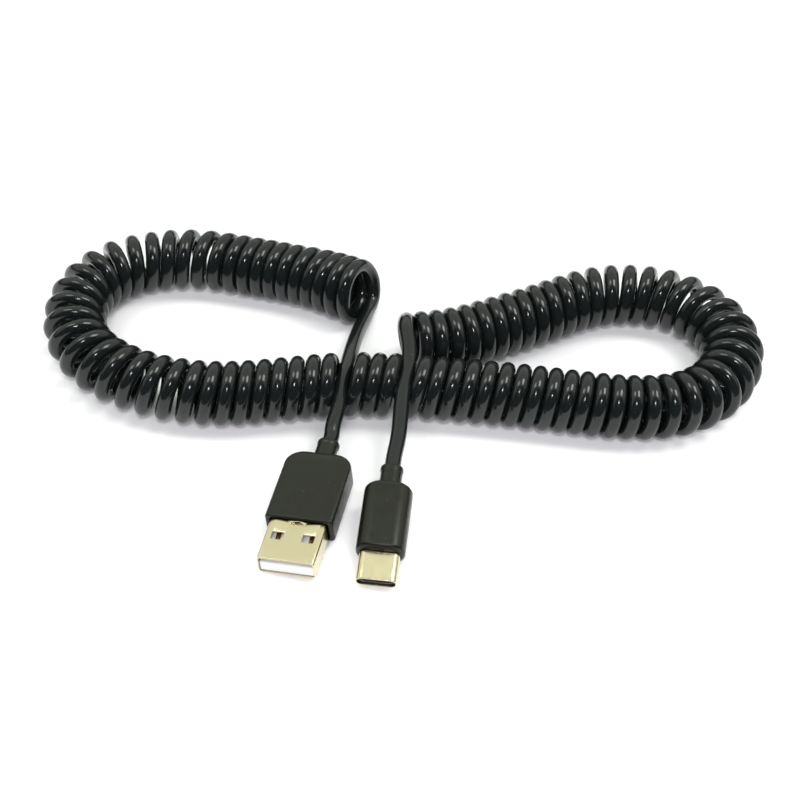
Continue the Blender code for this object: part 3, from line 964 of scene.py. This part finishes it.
def contact(number, x):
    front = TONGUE_BACK + CONTACT_BACK
    height = tongue_top + CONTACT_THICK / 4.0
    end = front + CONTACT_LENGTH
    shape = (CONTACT_WIDTH, CONTACT_THICK, CONTACT_CORNER, CONTACT_ROUND, CONTACT_ROUND)
    sections = rounded_end(front, -1.0, *shape)[::-1] + rounded_end(end, 1.0, *shape)
    return loft("usb_a_strip_%d" % number, sections, usb_a_place, shift=(x, height))


dress(tongue(), white_plastic, "white_plastic", "usb_a_insulator")
for number, x in enumerate(CONTACT_PLACES, start=1):
    dress(contact(number, x), gold_plate, "gold", "usb_a_contact_%d" % number)
print("tongue top above the plug's middle:", round(tongue_top, 2))

# %% [markdown]
# ## Grips and necks
#
# The USB-A grip is a flat block with rounded back corners. The USB-C grip has round sides, and
# is nearly a tube. Each has a neck at the back that takes the cord, with a raised rim where the
# cord leaves. A real one bends there instead of cutting into the jacket.

# %% Grip and neck shapes
RELIEF_WIDTH = 4.6
RELIEF_HEIGHT = 4.0
RELIEF_SEATED = 2.5
RIM_MORE = 0.25                 # how much wider and higher the rim is
RIM_BACK = 1.3                  # where it starts to rise, before the neck's end
RIM_RISE = 0.5                  # the length of that rise
RIM_LEAD = 0.3                  # a straight stretch before it, for even shading
RIM_ROUND = 0.3
RIM_END_LESS = 0.5              # how much narrower and lower its end is
CORD_HOLE = CORD_DIAMETER + 0.1
CORD_HOLE_DEPTH = 2.0
USB_A_GRIP = (14.4, 6.1, 0.9)   # width, height and edge round
USB_A_GRIP_BACK = (3.6, 0.6)    # round of the back end, from above and from the side
USB_A_GRIP_FRONT = 0.4


def grip(name, front, length, width, height, edge, back_round, front_round, pocket, place):
    """A moulded grip with a pocket for the shell and a socket for the neck."""
    pocket_width, pocket_height, pocket_corner, pocket_depth = pocket
    back = front + length
    socket = (RELIEF_WIDTH + 2.0 * FACE_GAP, RELIEF_HEIGHT + 2.0 * FACE_GAP, RELIEF_HEIGHT / 2.0 + FACE_GAP)
    sections = [(back - RELIEF_SEATED, *socket), (back, *socket)]
    sections += reversed(rounded_end(back, 1.0, width, height, edge, *back_round))
    sections += rounded_end(front, -1.0, width, height, edge, front_round, front_round)
    sections += [(front, pocket_width, pocket_height, pocket_corner),
                 (front + pocket_depth, pocket_width, pocket_height, pocket_corner)]
    return loft(name, sections, place)


def neck(name, back, place):
    """A moulded neck, oval, with a low rim at its end and a hole for the cord."""
    end = back + RELIEF_LENGTH
    profile = [(back - RELIEF_SEATED, 0.0), (end - RIM_BACK - RIM_LEAD, 0.0)]
    for step in range(CORNER_STEPS + 1):
        share = step / CORNER_STEPS
        rise = (1.0 - math.cos(math.pi * share)) / 2.0
        profile.append((end - RIM_BACK + RIM_RISE * share, RIM_MORE * rise))
    for step in range(1, CORNER_STEPS + 1):
        angle = math.radians(90.0 * step / CORNER_STEPS)
        y = end - RIM_ROUND * (1.0 - math.sin(angle))
        profile.append((y, RIM_MORE - RIM_END_LESS * (1.0 - math.cos(angle))))
    sections = [(y, RELIEF_WIDTH + more, RELIEF_HEIGHT + more, (RELIEF_HEIGHT + more) / 2.0)
                for y, more in profile]
    sections += [(y, CORD_HOLE, CORD_HOLE, CORD_HOLE / 2.0) for y in (end, end - CORD_HOLE_DEPTH)]
    return loft(name, sections, place)


usb_a_pocket = (USB_A_SHELL[0] + 2.0 * FACE_GAP, USB_A_SHELL[1] + 2.0 * FACE_GAP,
                USB_A_SHELL_CORNER + FACE_GAP, USB_A_SHELL_SEATED)
usb_a_grip = grip("usb_a_grip", USB_A_SHELL_SHOWN, USB_A_GRIP_LENGTH, *USB_A_GRIP,
                  USB_A_GRIP_BACK, USB_A_GRIP_FRONT, usb_a_pocket, usb_a_place)
dress(usb_a_grip, black_grip, "black_housing", "usb_a_housing")
usb_a_neck = neck("usb_a_neck", USB_A_SHELL_SHOWN + USB_A_GRIP_LENGTH, usb_a_place)
dress(usb_a_neck, black_grip, "black_housing", "usb_a_strain_relief")
print("USB-A grip faces:", len(usb_a_grip.data.polygons))

# %% [markdown]
# ## The USB-C plug
#
# Its shell is drawn from one round of sheet, so it has no windows, and its ends are half
# circles. In the mouth a black insulator leaves a slot for the socket's tongue.

# %% USB-C pieces
USB_C_SHELL = (8.34, 2.56)
USB_C_SHELL_SEATED = 3.0
USB_C_SHELL_WALL = 0.25
USB_C_LEAD_IN = 0.12
USB_C_SLOT = (5.8, 0.7)
USB_C_SLOT_DEPTH = 5.0
USB_C_CORE_BACK = 0.4
USB_C_CORE_ROUND = 0.08
USB_C_GRIP = (10.1, 6.6, 2.9)
USB_C_GRIP_BACK = (1.6, 0.7)
USB_C_GRIP_FRONT = 0.9


def usb_c_insulator(length):
    inset = 2.0 * (USB_C_SHELL_WALL + FACE_GAP)
    width, height = USB_C_SHELL[0] - inset, USB_C_SHELL[1] - inset
    slot_width, slot_height = USB_C_SLOT
    corner = slot_height / 4.0
    sections = [(length, width, height, height / 2.0)]
    sections += rounded_end(USB_C_CORE_BACK, -1.0, width, height, height / 2.0,
                            USB_C_CORE_ROUND, USB_C_CORE_ROUND)
    sections += [(USB_C_CORE_BACK, slot_width, slot_height, corner),
                 (USB_C_CORE_BACK + USB_C_SLOT_DEPTH, slot_width, slot_height, corner)]
    return loft("usb_c_core", sections, usb_c_place)


usb_c_length = USB_C_SHELL_SHOWN + USB_C_SHELL_SEATED
round_corner = USB_C_SHELL[1] / 2.0
usb_c_sections = rolled_tube(*USB_C_SHELL, round_corner, USB_C_SHELL_WALL, usb_c_length, USB_C_LEAD_IN)
usb_c_metal = loft("usb_c_metal_shell", usb_c_sections, usb_c_place, ring=True)
dress(usb_c_metal, warm_nickel, "nickel", "usb_c_shell")
usb_c_core = dress(usb_c_insulator(usb_c_length), black_plastic, "black_plastic", "usb_c_insulator")
usb_c_pocket = (USB_C_SHELL[0] + 2.0 * FACE_GAP, USB_C_SHELL[1] + 2.0 * FACE_GAP,
                round_corner + FACE_GAP, USB_C_SHELL_SEATED)
usb_c_grip = grip("usb_c_grip", USB_C_SHELL_SHOWN, USB_C_GRIP_LENGTH, *USB_C_GRIP,
                  USB_C_GRIP_BACK, USB_C_GRIP_FRONT, usb_c_pocket, usb_c_place)
dress(usb_c_grip, black_grip, "black_housing", "usb_c_housing")
usb_c_neck = neck("usb_c_neck", USB_C_SHELL_SHOWN + USB_C_GRIP_LENGTH, usb_c_place)
dress(usb_c_neck, black_grip, "black_housing", "usb_c_strain_relief")
print("USB-C grip faces:", len(usb_c_grip.data.polygons))

# %% [markdown]
# ## Floor and lights
#
# The cable lies on a white sheet, lit so brightly that the sheet goes nearly blank. Black gloss
# shows hardly any colour of its own: what one sees is the room. So the light is laid out for its
# reflections. A pale ceiling and back wall give the soft grey tops, and a dark front and a dark
# edge of the room give the dark bands. A small lamp gives each turn its bright dot, and two
# softboxes give the pair of streaks above it. A large fill light in front lifts the shadows,
# but is kept out of the reflections. The plain Standard view keeps the white sheet white.

# %% Floor
FLOOR_WIDTH = 6000.0


def floor_material():
    made, tree, shader = new_material("white paper")
    gloss = use_group(tree, gloss_drift, Scale=40.0, Low=0.75, High=0.85)
    skin = use_group(tree, moulded_skin, Scale=1500.0, Waves=60.0)
    add_bump(tree, shader, skin, 0.00003)
    tone = noise_node(tree, tree.nodes.new("ShaderNodeTexCoord").outputs["Object"], 6.0)
    wire(tree, mixed_colour(tree, tone, (0.90, 0.90, 0.905), (0.93, 0.93, 0.93)),
         shader.inputs["Base Color"], gloss, shader.inputs["Roughness"])
    return made


def add_floor():
    reach = FLOOR_WIDTH / 2.0
    points = [(x, y, 0.0) for x, y in ((-reach, -reach), (reach, -reach), (reach, reach), (-reach, reach))]
    floor = finish_mesh("floor", points, [(0, 1, 2, 3)])
    floor.data.materials.append(floor_material())
    return floor


floor = add_floor()
print("floor size in m:", floor.dimensions.x)

# %% Lights
SKY_EDGE = (-0.26, -0.14)           # how far to the front it ends, along Y of a unit direction
SKY_FOOT = (0.10, 0.34)             # how high it starts, along Z of a unit direction
SKY_COLOUR = (0.95, 1.0, 0.90)
DARK_COLOUR = (0.03, 0.035, 0.05)


def area_light(name, place, size, radiance, colour=(1.0, 1.0, 1.0)):
    """A panel that looks as bright as the given radiance, aimed at the cable."""
    data = bpy.data.lights.new(name, "AREA")
    data.shape = "RECTANGLE"
    data.size, data.size_y = size
    data.energy = radiance * math.pi * size[0] * size[1]
    data.color = colour
    light = bpy.data.objects.new(name, data)
    bpy.context.collection.objects.link(light)
    light.location = place
    light.rotation_euler = (-Vector(place)).to_track_quat("-Z", "Y").to_euler()
    return light


def add_world():
    world = bpy.data.worlds.new("studio")
    bpy.context.scene.world = world
    world.use_nodes = True
    tree = world.node_tree
    way = tree.nodes.new("ShaderNodeTexCoord").outputs["Generated"]
    parts = tree.nodes.new("ShaderNodeSeparateXYZ")
    tree.links.new(way, parts.inputs["Vector"])
    level = math_node(tree, "MULTIPLY", range_node(tree, parts.outputs["Y"], *SKY_EDGE),
                      range_node(tree, parts.outputs["Z"], *SKY_FOOT))
    colour = mixed_colour(tree, level, DARK_COLOUR, SKY_COLOUR)
    tree.links.new(colour, tree.nodes["Background"].inputs["Color"])
    return world


add_world()
bpy.context.scene.view_settings.view_transform = "Standard"
area_light("lamp", (-0.005, -0.591, 0.894), (0.19, 0.10), 50.0)
area_light("left softbox", (-0.44, 0.09, 0.9), (0.24, 0.42), 5.0)
area_light("right softbox", (0.44, 0.05, 0.9), (0.36, 0.42), 8.0)
fill = area_light("front fill", (0.0, -1.2, 0.9), (1.5, 1.0), 4.0, (0.97, 0.95, 1.0))
fill.visible_glossy = False     # it only lifts the shadows, and the cord's front stays dark
